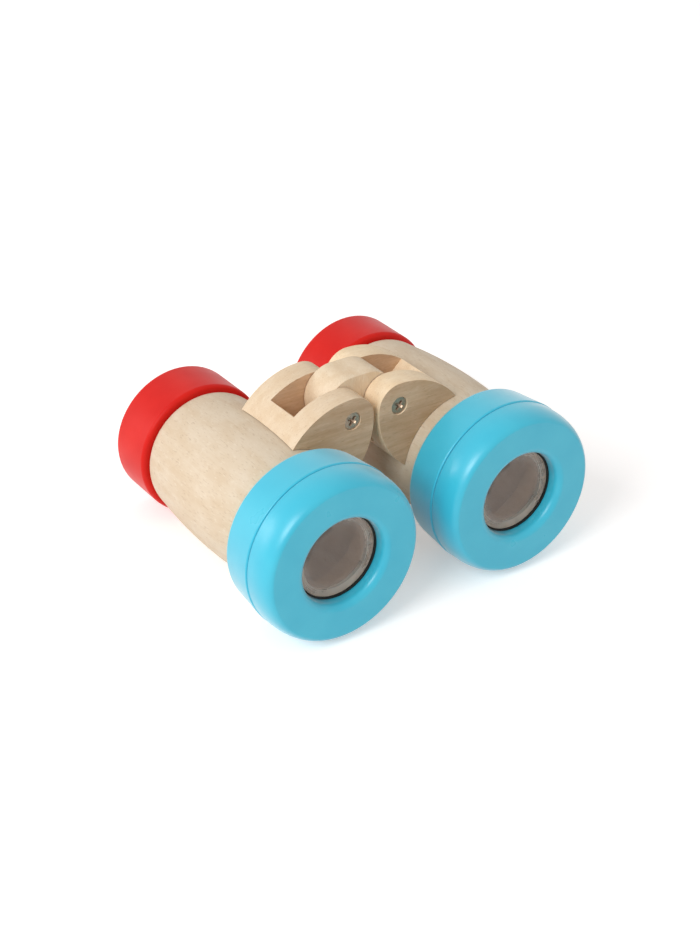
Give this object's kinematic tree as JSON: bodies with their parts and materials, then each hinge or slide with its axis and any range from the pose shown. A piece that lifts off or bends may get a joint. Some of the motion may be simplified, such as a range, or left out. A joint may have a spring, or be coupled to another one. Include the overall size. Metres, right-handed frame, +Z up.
{
  "type": "toy kaleidoscope binoculars",
  "caption": "Wooden toy binoculars with natural barrels on a pinned hinge, red eyecups, and blue objective rings that turn faceted kaleidoscope lenses.",
  "frame": {"origin": "on the floor plane, under the middle of the bounding box, with the toy standing on its collars and eyecups", "axes": "+X to the right seen from the objectives, -Y the way the objectives face, +Y towards the eyecups, +Z up; the barrels slope down 3.6 degrees to the eye end"},
  "size_m": [0.1186, 0.0978, 0.0588],
  "materials": {
    "natural_wood": "fine sanded, clear matt",
    "blue_paint": "sky blue satin paint",
    "red_paint": "red satin paint",
    "clear_plastic": "clear polished",
    "black_plastic": "matt",
    "steel": "zinc plated"
  },
  "bodies": {
    "hinge_link": {"centre_link": "natural_wood"},
    "left_half": {"left_barrel": "natural_wood", "left_hinge_fork": "natural_wood", "left_eyecup": "red_paint", "left_eye_window": "clear_plastic", "left_objective_collar": "blue_paint", "left_pivot_screw": "steel"},
    "left_objective": {"left_objective_ring": "blue_paint", "left_kaleidoscope_lens": "clear_plastic", "left_lens_retainer": "black_plastic", "left_swivel_keeper": "black_plastic"},
    "right_half": {"right_barrel": "natural_wood", "right_hinge_fork": "natural_wood", "right_eyecup": "red_paint", "right_eye_window": "clear_plastic", "right_objective_collar": "blue_paint", "right_pivot_screw": "steel"},
    "right_objective": {"right_objective_ring": "blue_paint", "right_kaleidoscope_lens": "clear_plastic", "right_lens_retainer": "black_plastic", "right_swivel_keeper": "black_plastic"}
  },
  "joints": [
    {"name": "left_pivot", "type": "hinge", "parent": "hinge_link", "child": "left_half", "pos_m": [-0.0085, -0.00066, 0.04913], "axis": [0, 0.9981, -0.0624], "range_deg": [-10, 30]},
    {"name": "left_objective_turn", "type": "hinge", "parent": "left_half", "child": "left_objective", "pos_m": [-0.0323, -0.04251, 0.0273], "axis": [0, 0.9981, -0.0624], "continuous": true},
    {"name": "right_pivot", "type": "hinge", "parent": "hinge_link", "child": "right_half", "pos_m": [0.0085, -0.00066, 0.04913], "axis": [0, -0.9981, 0.0624], "range_deg": [-10, 30]},
    {"name": "right_objective_turn", "type": "hinge", "parent": "right_half", "child": "right_objective", "pos_m": [0.0323, -0.04251, 0.0273], "axis": [0, 0.9981, -0.0624], "continuous": true}
  ]
}
